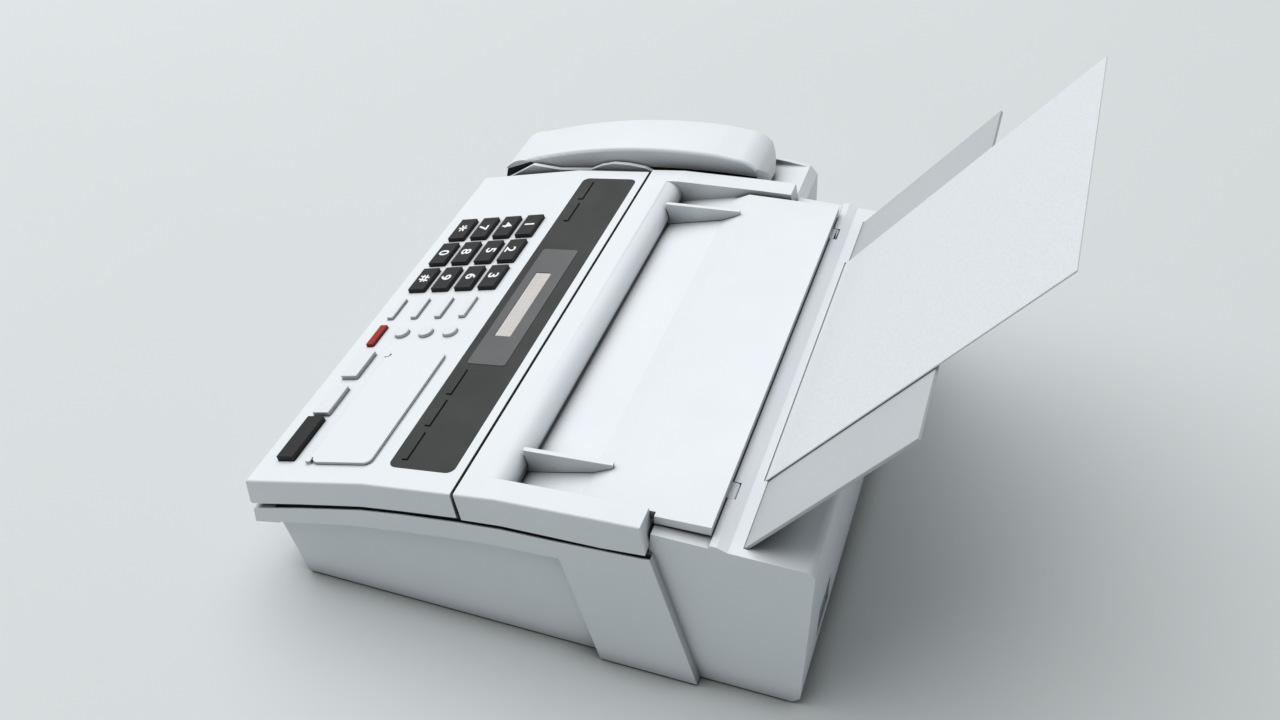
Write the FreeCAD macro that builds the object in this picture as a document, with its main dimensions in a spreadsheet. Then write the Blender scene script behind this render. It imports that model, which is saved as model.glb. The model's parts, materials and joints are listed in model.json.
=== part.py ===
import FreeCAD, Part
import math
import os
from types import SimpleNamespace

import Sketcher
from FreeCAD import Placement, Rotation, Vector

# Fax machine with a side handset, a sloping operation panel, a document cover with sheet
# guides and an upright paper tray.  Millimetres, +X to the user's right, +Y to the rear, +Z up.
# Sections are drawn in the machine datum: y = 0 at the seam between panel and cover, z = 0 on
# the desk.  Every sub-part is placed so that the middle of the whole machine is the origin.

DRIVERS = [
    ("datum_y", -79.0, "machine datum, seen from the origin"),
    ("side_x", 200.0, "right side of cover, panel rim and leg"),
    ("wall_x", 194.0, "right side wall, set in behind rim and leg"),
    ("body_left", -145.0, "left side of the main housing's rim and leg"),
    ("body_left_wall", -139.0, "left side wall of the main housing"),
    ("panel_left", -140.4, "left edge of the operation panel"),
    ("cradle_left", -200.0, "left side of the handset cradle"),
    ("shell", 2.5, "wall thickness of the plastic shells"),
    ("desk_gap", 1.5, "height of the rubber feet"),
    ("body_top", 107.5, "top of the rear body"),
    ("body_rear", 200.0, "rear wall"),
    ("panel_front_y", -127.4, "front top edge of the panel"),
    ("panel_front_z", 75.2, "height of that edge"),
    ("panel_knee_y", -51.0, "bend in the panel's top"),
    ("panel_knee_z", 97.0, "height of the bend"),
    ("panel_rear_y", 2.9, "rear top edge of the panel"),
    ("panel_rear_z", 106.2, "height of that edge"),
    ("skin", 2.5, "thickness of the panel's top"),
    ("key_width", 25.2, "wide key, across"),
    ("key_depth", 12.3, "wide key, front to back"),
    ("key_rise", 3.0, "wide key above the panel"),
    ("key_gap", 0.35, "gap round a key in its hole"),
    ("column_pitch", 31.4, "keypad columns"),
    ("row_pitch", 17.85, "keypad rows"),
    ("first_row", 18.7, "front keypad row, up the slope from the front edge"),
    ("first_column", -61.7, "left keypad column"),
    ("board_depth", 7.5, "key board below the panel's top"),
    ("strip_thick", 1.2, "dark display strip"),
    ("cover_left", -142.0, "left edge of the document cover"),
    ("rail_right", 184.5, "inner face of the cover's right rail"),
    ("rail_left", -127.0, "inner face of the cover's left rail"),
    ("paper_x", 32.5, "centre of the paper path"),
    ("tray_width", 311.0, "paper tray"),
    ("tray_length", 124.0, "paper tray, from the slot to its top"),
    ("tray_thick", 2.0, "paper tray"),
    ("tray_y", 161.5, "where the tray leaves the rear body"),
    ("paper_width", 210.0, "A4 paper"),
    ("paper_length", 297.0, "A4 paper"),
    ("paper_inside", 87.0, "length of paper inside the body"),
    ("paper_thick", 1.0, "stack of paper"),
    ("guide_span", 254.0, "between the open document guides"),
    ("guide_thick", 3.0, "document guide"),
    ("roller_radius", 8.0, "rubber of both rollers"),
    ("shaft_radius", 4.0, "roller shafts"),
    ("bearing_gap", 0.05, "running clearance of every shaft and pin"),
    ("handset_right", -150.0, "right side of the handset"),
    ("handset_left", -195.0, "left side of the handset"),
]

PANEL_HINGE = (-122.3, 59.0)
COVER_HINGE = (146.4, 107.4)
SCAN_AXIS = (-14.0, 60.0)
PRINT_AXIS = (100.0, 45.0)
TRAY_SLOPE = math.radians(52.9)
GEAR_X = (-130.0, -124.0)
ROLLER_TEETH = 32
PINION_TEETH = 14
GEAR_MODULE = 1.0
RACK_MODULE = 0.7
RACK_TEETH = 16
RACK_AXIS = (30.5, 19.5)
RACK_Z = (95.4, 97.9)
TOOTH_ADDENDUM = 0.8
TOOTH_DEDENDUM = 1.15
TOOTH_BACKLASH = 0.2
PRESSURE_ANGLE = math.radians(20.0)
SLOT_REACH = 8.0
BEARINGS = ((-136.6, -131.5, -136.0, -131.4), (186.5, 191.6, 186.4, 191.0))
COVER_HINGE_X = (-100.0, 152.0)
SCREW_SPOTS = [(-131.0, -90.0), (186.0, -90.0), (-131.0, 150.0), (186.0, 150.0)]
FOOT_SPOTS = [(-115.0, -80.0), (170.0, -80.0), (-115.0, 180.0), (170.0, 180.0)]
MOTOR_X = (-121.5, -101.5)
GEAR_DISTANCE = (ROLLER_TEETH + PINION_TEETH) * GEAR_MODULE / 2
HOOK_X = -172.5
HOOK_SPOT = (62.0, 93.5)

doc = FreeCAD.newDocument("fax_machine")


class Size:
    """A length that carries its value and the sheet expression it comes from."""

    def __init__(self, value, text):
        self.value = float(value)
        self.text = text

    def combine(self, other, sign, result):
        return Size(result, f"({self.text} {sign} {size(other).text})")

    def __add__(self, other):
        return self.combine(other, "+", self.value + size(other).value)

    def __sub__(self, other):
        return self.combine(other, "-", self.value - size(other).value)

    def __mul__(self, other):
        return self.combine(other, "*", self.value * size(other).value)

    def __truediv__(self, other):
        return self.combine(other, "/", self.value / size(other).value)

    def __radd__(self, other):
        return size(other) + self

    def __rsub__(self, other):
        return size(other) - self

    def __rmul__(self, other):
        return size(other) * self

    def __neg__(self):
        return size(0) - self

    def __float__(self):
        return self.value


def size(length):
    return length if isinstance(length, Size) else Size(length, f"({float(length):.6f})")


def make_sheet():
    """Fills the sheet with the driving dimensions and returns them as sizes."""
    sheet = doc.addObject("Spreadsheet::Sheet", "Dims")
    sizes = {}
    for row, (alias, value, meaning) in enumerate(DRIVERS, start=1):
        sheet.set(f"A{row}", meaning)
        sheet.set(f"B{row}", str(value))
        sheet.setAlias(f"B{row}", alias)
        sizes[alias] = Size(value, f"Dims.{alias}")
    doc.recompute()
    return SimpleNamespace(**sizes)


d = make_sheet()


def bind(thing, path, length):
    """Binds one property to its expression when the sheet drives it."""
    if "Dims." in length.text:
        thing.setExpression(path, length.text)


def rotation_x(degrees):
    return Rotation(Vector(1, 0, 0), degrees)


def place(thing, x=0, y=0, z=0, rotation=None):
    """Puts a sub-part at a point of the machine datum."""
    spot = [size(x), d.datum_y + y, size(z)]
    thing.Placement = Placement(Vector(*[float(s) for s in spot]), rotation or Rotation())
    for axis, length in zip("xyz", spot):
        bind(thing, f"Placement.Base.{axis}", length)


class Solid:
    """One sub-part in its own PartDesign body, built from pads, cuts and fillets."""

    NORMAL = {"YZ_Plane": 1, "XZ_Plane": -1, "XY_Plane": 1}

    def __init__(self, name, x=0, y=0, z=0, rotation=None):
        self.body = doc.addObject("PartDesign::Body", name)
        self.body.Label = name
        place(self.body, x, y, z, rotation)

    def draw(self, plane, loops, level, tilt=None):
        """Sketches closed loops on one of the body's own planes, at a level along its normal."""
        sketch = self.body.newObject("Sketcher::SketchObject", "Sketch")
        role = [f for f in self.body.Origin.OriginFeatures if f.Role == plane][0]
        sketch.AttachmentSupport = (role, [""])
        sketch.MapMode = "FlatFace"
        if tilt is None:
            offset = size(level) * self.NORMAL[plane]
            sketch.AttachmentOffset = Placement(Vector(0, 0, float(offset)), Rotation())
            bind(sketch, "AttachmentOffset.Base.z", offset)
        else:
            y, z, degrees = tilt
            normal = rotation_x(degrees).multVec(Vector(0, 0, 1))
            base = Vector(0, float(y), float(z)) + normal * float(level)
            sketch.AttachmentOffset = Placement(base, rotation_x(degrees))
        for loop in loops:
            if len(loop) == 3 and not isinstance(loop[0], tuple):
                self.circle(sketch, *loop)
            else:
                self.outline(sketch, loop)
        return sketch

    @staticmethod
    def circle(sketch, u, v, radius):
        spot = Vector(float(u), float(v), 0)
        index = sketch.addGeometry(Part.Circle(spot, Vector(0, 0, 1), float(radius)))
        ring = sketch.addConstraint(Sketcher.Constraint("Radius", index, float(radius)))
        bind(sketch, f"Constraints[{ring}]", size(radius))
        pin(sketch, index, 3, u, v)

    @staticmethod
    def outline(sketch, points):
        """Draws straight runs; a point with four numbers ends an arc through its last two."""
        spots = [Vector(float(p[0]), float(p[1]), 0) for p in points]
        first = sketch.GeometryCount
        for k, point in enumerate(points):
            start, end = spots[k - 1], spots[k]
            if len(point) == 4:
                middle = Vector(float(point[2]), float(point[3]), 0)
                index = sketch.addGeometry(Part.Arc(start, middle, end))
                sketch.addConstraint(Sketcher.Constraint("Block", index))
            else:
                sketch.addGeometry(Part.LineSegment(start, end))
        if any(len(p) == 4 for p in points):
            return
        count = len(points)
        for k, point in enumerate(points):
            after = first + (k + 1) % count
            sketch.addConstraint(Sketcher.Constraint("Coincident", first + k, 2, after, 1))
            pin(sketch, first + k, 2, *point)

    def pad(self, plane, loops, low, high, tilt=None):
        """Adds material between two levels along the axis that the plane leaves out."""
        before = self.volume()
        start = low if self.NORMAL[plane] > 0 else high
        pad = self.body.newObject("PartDesign::Pad", "Pad")
        pad.Profile = self.draw(plane, loops, start, tilt)
        self.deepen(pad, low, high)
        if self.volume() <= before:
            raise ValueError(f"{self.body.Label}: a pad added nothing")

    def cut(self, plane, loops, low, high, tilt=None):
        """Removes material between two levels along the axis that the plane leaves out."""
        before = self.volume()
        start = high if self.NORMAL[plane] > 0 else low
        pocket = self.body.newObject("PartDesign::Pocket", "Pocket")
        pocket.Profile = self.draw(plane, loops, start, tilt)
        self.deepen(pocket, low, high)
        if self.volume() >= before:
            raise ValueError(f"{self.body.Label}: a cut removed nothing")

    def deepen(self, feature, low, high):
        length = size(high) - low
        feature.Type = "Length"
        feature.Length = float(length)
        bind(feature, "Length", length)
        feature.Profile[0].Visibility = False
        doc.recompute()

    def fillet(self, radius, chosen):
        """Rounds the edges for which chosen(edge) is true."""
        tip = self.body.Tip
        names = [f"Edge{k}" for k, e in enumerate(tip.Shape.Edges, start=1) if chosen(e)]
        if not names:
            raise ValueError(f"{self.body.Label}: no edge to round")
        rounded = self.body.newObject("PartDesign::Fillet", "Fillet")
        rounded.Base = (tip, names)
        rounded.Radius = float(radius)
        bind(rounded, "Radius", size(radius))
        doc.recompute()
        if rounded.Shape.isNull() or not rounded.Shape.isValid():
            raise ValueError(f"{self.body.Label}: the edges can't be rounded")

    def volume(self):
        return self.body.Tip.Shape.Volume if self.body.Tip else 0.0


def pin(sketch, index, vertex, u, v):
    """Fixes one sketch point by its distances from the sketch's own origin."""
    for kind, length in (("DistanceX", size(u)), ("DistanceY", size(v))):
        row = sketch.addConstraint(
            Sketcher.Constraint(kind, -1, 1, index, vertex, float(length)))
        bind(sketch, f"Constraints[{row}]", length)


def rect(u0, u1, v0, v1):
    return [(u0, v0), (u1, v0), (u1, v1), (u0, v1)]


def rounded_rect(u0, u1, v0, v1, r):
    """A rectangle whose corners are arcs of radius r."""
    bend = r * (1 - math.sqrt(0.5))
    return [
        (u1 - r, v0), (u1, v0 + r, u1 - bend, v0 + bend),
        (u1, v1 - r), (u1 - r, v1, u1 - bend, v1 - bend),
        (u0 + r, v1), (u0, v1 - r, u0 + bend, v1 - bend),
        (u0, v0 + r), (u0 + r, v0, u0 + bend, v0 + bend),
    ]


def along_x(edge, spots):
    """True for an edge that runs along X through one of the (y, z) spots of the section."""
    a, b = edge.Vertexes[0].Point, edge.Vertexes[-1].Point
    straight = abs(a.y - b.y) < 1e-3 and abs(a.z - b.z) < 1e-3 and abs(a.x - b.x) > 1
    return straight and any(math.hypot(a.y - y, a.z - z) < 0.05 for y, z in spots)


def on_side(edge, x):
    """True for an edge that lies in the plane at x."""
    return all(abs(v.Point.x - float(x)) < 1e-3 for v in edge.Vertexes)


def joins(edge, spots):
    """True for an edge of the side view that runs between two of the (y, z) spots."""
    ends = [v.Point for v in edge.Vertexes]
    flat = abs(ends[0].x - ends[-1].x) < 1e-3
    return flat and all(any(math.hypot(p.y - y, p.z - z) < 0.05 for y, z in spots) for p in ends)


def above(edge, z):
    return min(v.Point.z for v in edge.Vertexes) > z


def box(name, x0, x1, y0, y1, z0, z1):
    """A Part box whose three sizes and whose place come from the sheet."""
    block = doc.addObject("Part::Box", name)
    block.Label = name
    for prop, low, high in (("Length", x0, x1), ("Width", y0, y1), ("Height", z0, z1)):
        length = size(high) - low
        setattr(block, prop, float(length))
        bind(block, prop, length)
    place(block, x0, y0, z0)
    return block


def rod(name, axis, low, high, a, b, radius):
    """A Part cylinder along X, Y or Z, between two levels, through (a, b) of the other two."""
    turn = {
        "x": Rotation(Vector(0, 1, 0), 90), "y": rotation_x(-90), "z": Rotation(),
    }[axis]
    spot = {"x": (low, a, b), "y": (a, low, b), "z": (a, b, low)}[axis]
    cylinder = doc.addObject("Part::Cylinder", name)
    cylinder.Label = name
    length = size(high) - low
    cylinder.Radius = float(radius)
    cylinder.Height = float(length)
    bind(cylinder, "Radius", size(radius))
    bind(cylinder, "Height", length)
    place(cylinder, *spot, rotation=turn)
    return cylinder


def join(name, kind, shapes):
    """Fuses Part objects into one solid, or groups identical solids in one compound."""
    whole = doc.addObject(kind, name)
    whole.Label = name
    if kind == "Part::Compound":
        whole.Links = shapes
    else:
        whole.Shapes = shapes
    return whole


def involute(angle):
    return math.tan(angle) - angle


def gear_points(teeth, module, turn):
    """Outline of a spur gear whose first tooth points along the angle turn."""
    pitch = teeth * module / 2
    base = pitch * math.cos(PRESSURE_ANGLE)
    root = pitch - TOOTH_DEDENDUM * module
    tip = pitch + TOOTH_ADDENDUM * module
    half = (math.pi * module / 2 - TOOTH_BACKLASH * module) / (2 * pitch)
    low = max(base, root)
    flank = []
    for step in range(5):
        radius = low + (tip - low) * step / 4
        swing = half + involute(PRESSURE_ANGLE) - involute(math.acos(base / radius))
        flank.append((radius, swing))
    flank.insert(0, (root, flank[0][1]))
    points = []
    for tooth in range(teeth):
        centre = turn + 2 * math.pi * tooth / teeth
        for radius, swing in flank:
            points.append((radius, centre - swing))
        for radius, swing in reversed(flank):
            points.append((radius, centre + swing))
    return [(r * math.cos(a), r * math.sin(a)) for r, a in points]


def gear(name, teeth, module, turn, bore, axis_x, axis_y, low, high, upright=False):
    """A spur gear about X, or about Z when upright, with a bore for its shaft."""
    if upright:
        outline = [Vector(axis_x + u, axis_y + v, low) for u, v in
                   gear_points(teeth, module, turn)]
        way = Vector(0, 0, high - low)
        centre, normal = Vector(axis_x, axis_y, low), Vector(0, 0, 1)
    else:
        outline = [Vector(low, axis_x + u, axis_y + v) for u, v in
                   gear_points(teeth, module, turn)]
        way = Vector(high - low, 0, 0)
        centre, normal = Vector(low, axis_x, axis_y), Vector(1, 0, 0)
    blank = Part.Face(Part.makePolygon(outline + outline[:1])).extrude(way)
    hole = Part.makeCylinder(bore, high - low, centre, normal)
    wheel = doc.addObject("Part::Feature", name)
    wheel.Label = name
    wheel.Shape = blank.cut(hole)
    place(wheel)
    return wheel


def rack_points(start, end, pitch_y, side):
    """Teeth of a rack along X between start and end; side is +1 when they point to +Y."""
    module = RACK_MODULE
    pitch = math.pi * module
    slant = math.tan(PRESSURE_ANGLE)
    half = pitch / 4 - TOOTH_BACKLASH * module / 2
    tip_half = half - TOOTH_ADDENDUM * module * slant
    root_half = half + TOOTH_DEDENDUM * module * slant
    tip = pitch_y + side * TOOTH_ADDENDUM * module
    root = pitch_y - side * TOOTH_DEDENDUM * module
    points = []
    first = RACK_AXIS[0] + math.ceil((start + pitch - RACK_AXIS[0]) / pitch) * pitch
    centre = first
    while centre < end - pitch:
        points += [(centre - root_half, root), (centre - tip_half, tip),
                   (centre + tip_half, tip), (centre + root_half, root)]
        centre += pitch
    return [(start, root)] + points + [(end, root)]


# ---------------------------------------------------------------- panel geometry

def slope_degrees(y0, z0, y1, z1):
    return math.degrees(math.atan2(float(z1) - float(z0), float(y1) - float(y0)))


FRONT_SLOPE = slope_degrees(d.panel_front_y, d.panel_front_z, d.panel_knee_y, d.panel_knee_z)
REAR_SLOPE = slope_degrees(d.panel_knee_y, d.panel_knee_z, d.panel_rear_y, d.panel_rear_z)
FRONT_FACET = (d.panel_front_y, d.panel_front_z, FRONT_SLOPE)
REAR_FACET = (d.panel_knee_y, d.panel_knee_z, REAR_SLOPE)


def facet_point(facet, along, height=0.0):
    """A point of the panel's top: along the slope from the facet's start, and above it."""
    y, z, degrees = facet
    angle = math.radians(degrees)
    return (y + size(along) * math.cos(angle) - size(height) * math.sin(angle),
            z + size(along) * math.sin(angle) + size(height) * math.cos(angle))


class Key:
    """Where a key sits on the panel, and its size."""

    def __init__(self, name, x, along, width, depth, rise, facet=FRONT_FACET, round_cap=False):
        self.name, self.x, self.along = name, size(x), size(along)
        self.width, self.depth, self.rise = size(width), size(depth), size(rise)
        self.facet, self.round_cap = facet, round_cap

    def loop(self, gap, x=None, along=None):
        """Outline of the cap, grown by a gap; it sits at the origin unless told otherwise."""
        x = size(0) if x is None else x
        along = size(0) if along is None else along
        if self.round_cap:
            return (x, along, self.width / 2 + gap)
        wide, deep = self.width / 2 + gap, self.depth / 2 + gap
        return rect(x - wide, x + wide, along - deep, along + deep)

    def hole(self):
        return self.loop(d.key_gap, self.x, self.along)

    def build(self):
        y, z = facet_point(self.facet, self.along)
        key = Solid(self.name, self.x, y, z, rotation_x(self.facet[2]))
        flange_top = -(d.skin + 0.4)
        key.pad("XY_Plane", [self.loop(0)], flange_top - 1.0, self.rise)
        top = float(self.rise)
        key.fillet(0.5, lambda e: above(e, top - 1e-3))
        key.pad("XY_Plane", [self.loop(0.9)], flange_top - 1.0, flange_top)
        key.pad("XY_Plane", [(0, 0, 1.4)], -(d.board_depth - 1.7), flange_top - 0.9)
        return key.body


def panel_keys():
    """Every key of the operation panel, row by row."""
    keys = []
    pads = [["key_star", "key_0", "key_hash"], ["key_7", "key_8", "key_9"],
            ["key_4", "key_5", "key_6"], ["key_1", "key_2", "key_3"]]
    for row, names in enumerate(pads):
        for column, name in enumerate(names):
            keys.append(Key(name, d.first_column + d.column_pitch * column,
                            d.first_row + d.row_pitch * row, d.key_width, d.key_depth, d.key_rise))
    for row in range(4):
        keys.append(Key(f"function_key_{row + 1}", 33.8, 14.3 + d.row_pitch * row * 1.01,
                        21.3, 4.2, 2.2))
    for row in range(3):
        keys.append(Key(f"round_key_{row + 1}", 60.4, 32.2 + d.row_pitch * row, 9.4, 9.4, 2.4,
                        round_cap=True))
    keys.append(Key("stop_key", 63.3, 14.9, 20.6, 5.0, 2.4))
    for column in range(2):
        keys.append(Key(f"mode_key_{column + 1}", 94.5 + 35.2 * column, d.first_row, d.key_width,
                        d.key_depth - 1.0, d.key_rise))
    keys.append(Key("start_key", 164.4, d.first_row - 0.6, 36.5, d.key_depth - 1.0, d.key_rise + 0.5))
    for k, x in enumerate((-111.1, -82.3, 108.4, 137.1, 166.1)):
        keys.append(Key(f"touch_key_{k + 1}", x, 16.2, 23.2, 3.2, 1.0, REAR_FACET))
    return keys


KEYS = panel_keys()
STRIP = (-128.5, 184.3, 8.6, 49.0)
LCD_FRAME = (-35.0, 90.5, 14.3, 39.6)
LCD_WINDOW = (-7.5, 62.0, 20.2, 31.0)
CARD = (83.3, 185.0, 33.7, 77.3)


def shrink(area, gap):
    return area[0] + gap, area[1] - gap, area[2] + gap, area[3] - gap


def make_panel():
    """Operation panel: a sloping shell, open below, with a hole for every key."""
    panel = Solid("operation_panel")
    top = [(d.panel_front_y, d.panel_front_z), (d.panel_knee_y, d.panel_knee_z),
           (d.panel_rear_y, d.panel_rear_z)]
    lower = [(5.6, 88.4), (-29.0, 82.4), (-54.2, 77.5), (-93.9, 66.2), (-121.5, 57.8),
             (-126.4, 56.6), (-127.7, 58.2)]
    panel.pad("YZ_Plane", [top + lower], d.panel_left, d.side_x)
    front_top = [(float(d.panel_front_y), float(d.panel_front_z))]
    panel.fillet(1.2, lambda e: along_x(e, front_top) or e.Length > 20 and above(e, 70)
                 and (on_side(e, d.side_x) or on_side(e, d.panel_left)))
    drop = float(d.skin) / math.cos(math.radians(FRONT_SLOPE))
    wall = d.shell
    inner = [(d.panel_front_y + wall, d.panel_front_z - 1.9), (d.panel_knee_y, d.panel_knee_z - drop),
             (d.panel_rear_y - wall + 0.6, d.panel_rear_z - drop - 0.3), (2.4, 60.0), (-124.9, 40.0)]
    panel.cut("YZ_Plane", [inner], d.panel_left + wall, d.side_x - wall)
    posts = [(x, s, 2.6) for x in (-128.0, 77.7, 189.0) for s in (8.6, 76.0)]
    panel.pad("XY_Plane", posts, -d.board_depth, -1.5, FRONT_FACET)
    panel.cut("XY_Plane", [k.hole() for k in KEYS if k.facet is FRONT_FACET],
              -(d.skin + 0.6), 1.0, FRONT_FACET)
    panel.cut("XY_Plane", [rounded_rect(*shrink(STRIP, -0.1), 5.0)], -d.strip_thick, 1.0, REAR_FACET)
    holes = [k.hole() for k in KEYS if k.facet is REAR_FACET]
    holes.append(rect(*shrink(LCD_FRAME, 3.0)))
    panel.cut("XY_Plane", holes, -(d.skin + 0.8), 1.0, REAR_FACET)
    x0, x1, s0, s1 = CARD
    ears = [rect(a, a + 3.4, s0, s0 + 3.2) for a in (x0 + 0.1, x1 - 3.5)]
    panel.pad("XY_Plane", ears, -1.0, 2.2, FRONT_FACET)
    y, z = facet_point(FRONT_FACET, s0 + 1.6, 1.2)
    panel.cut("YZ_Plane", [(y, z, 0.75)], x0 - 0.2, x0 + 4.0)
    panel.cut("YZ_Plane", [(y, z, 0.75)], x1 - 4.0, x1 - 0.6)
    hinge_y, hinge_z = PANEL_HINGE
    for x in (-130.5, 186.5):
        panel.pad("YZ_Plane", [rect(-126.0, hinge_y + 2.4, hinge_z - 2.4, hinge_z + 8.0)], x, x + 4.0)
        panel.cut("YZ_Plane", [(hinge_y, hinge_z, 1.5 + d.bearing_gap)], x - 0.1, x + 4.1)
    for x in (-126.0, 182.0):
        panel.cut("YZ_Plane", [rect(-130.0, hinge_y + 2.6, 50.0, hinge_z + 3.5)], x - 0.4, x + 4.4)
    return panel.body


def make_strip():
    """Dark strip that carries the display and the touch keys."""
    x0, x1, s0, s1 = STRIP
    y, z = facet_point(REAR_FACET, 0)
    strip = Solid("display_strip", 0, y, z, rotation_x(REAR_SLOPE))
    strip.pad("XY_Plane", [rounded_rect(x0, x1, s0, s1, 5.0)], -d.strip_thick, 0.1)
    holes = [k.hole() for k in KEYS if k.facet is REAR_FACET]
    holes.append(rounded_rect(*shrink(LCD_FRAME, -0.05), 2.0))
    strip.cut("XY_Plane", holes, -d.strip_thick - 0.5, 0.5)
    return strip.body


def make_display():
    """Grey display bezel and the pale window of the display behind it."""
    y, z = facet_point(REAR_FACET, 0)
    frame = Solid("display_bezel", 0, y, z, rotation_x(REAR_SLOPE))
    frame.pad("XY_Plane", [rounded_rect(*LCD_FRAME, 2.0)], -d.strip_thick, 0.4)
    frame.pad("XY_Plane", [rect(*shrink(LCD_FRAME, 3.1))], -4.5, -d.strip_thick + 0.1)
    frame.cut("XY_Plane", [rect(*shrink(LCD_WINDOW, -0.05))], -5.0, 1.0)
    window = Solid("display_window", 0, y, z, rotation_x(REAR_SLOPE))
    window.pad("XY_Plane", [rect(*LCD_WINDOW)], -4.5, 0.1)
    return [frame.body, window.body]


def make_key_board():
    """Circuit boards under the keys: a large one below the keypad, a slim one below the strip."""
    y, z = facet_point(FRONT_FACET, 0)
    depth = d.board_depth
    large = Solid("key_board_large", 0, y, z, rotation_x(FRONT_SLOPE))
    large.pad("XY_Plane", [rect(-133.0, 193.0, 6.0, 79.0)], -depth - 1.6, -depth)
    y, z = facet_point(REAR_FACET, 0)
    slim = Solid("key_board_slim", 0, y, z, rotation_x(REAR_SLOPE))
    slim.pad("XY_Plane", [rect(-126.0, -38.0, 10.0, 24.0), rect(94.0, 182.0, 10.0, 24.0),
                          rect(-39.0, 95.0, 10.0, 13.0)], -depth - 1.6, -depth)
    return join("key_board", "Part::Compound", [large.body, slim.body])


def make_card_flap():
    """Lid of the number directory, hinged along its front edge."""
    x0, x1, s0, s1 = CARD
    y, z = facet_point(FRONT_FACET, s0 + 1.6, 1.2)
    flap = Solid("directory_lid", 0, y, z, rotation_x(FRONT_SLOPE))
    reach = s1 - s0 - 1.6
    flap.pad("XY_Plane", [rounded_rect(x0 + 0.2, x1, 1.9, reach, 4.5)], -0.8, 0.8)
    flap.pad("XY_Plane", [rect(x0 + 3.9, x1 - 3.9, 0.0, 7.0)], -0.8, 0.8)
    flap.pad("YZ_Plane", [(0, 0, 0.8)], x0 + 3.9, x1 - 3.9)
    flap.pad("YZ_Plane", [(0, 0, 0.7)], x0 + 0.6, x1 - 0.8)
    return flap.body


# ---------------------------------------------------------------- housing

LIP_FRONT = [(-127.5, 41.9), (-126.8, 52.8)]
RIM_TOP = [(-122.2, 54.3), (-94.4, 63.3), (-54.5, 75.0), (-29.3, 79.9), (5.5, 85.5),
           (31.2, 88.7), (59.8, 90.1), (112.5, 94.0), (114.9, 94.0)]


def rim_section():
    """Side view of the rim and the leg that stand out from the side wall."""
    leg = [(143.2, d.desk_gap), (86.0, d.desk_gap), (64.0, 77.7)]
    rim_bottom = [(30.0, 75.2), (18.0, 73.8), (-6.0, 70.6), (-31.0, 66.0), (-63.0, 60.0),
                  (-108.5, 47.4)]
    return LIP_FRONT + RIM_TOP + leg + rim_bottom


def tray_line(along, height=0.0):
    """A point on the tray's slope, from the slot upward, and square to it towards the user."""
    return (d.tray_y + size(along) * math.cos(TRAY_SLOPE) - size(height) * math.sin(TRAY_SLOPE),
            d.body_top + size(along) * math.sin(TRAY_SLOPE) + size(height) * math.cos(TRAY_SLOPE))


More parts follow.
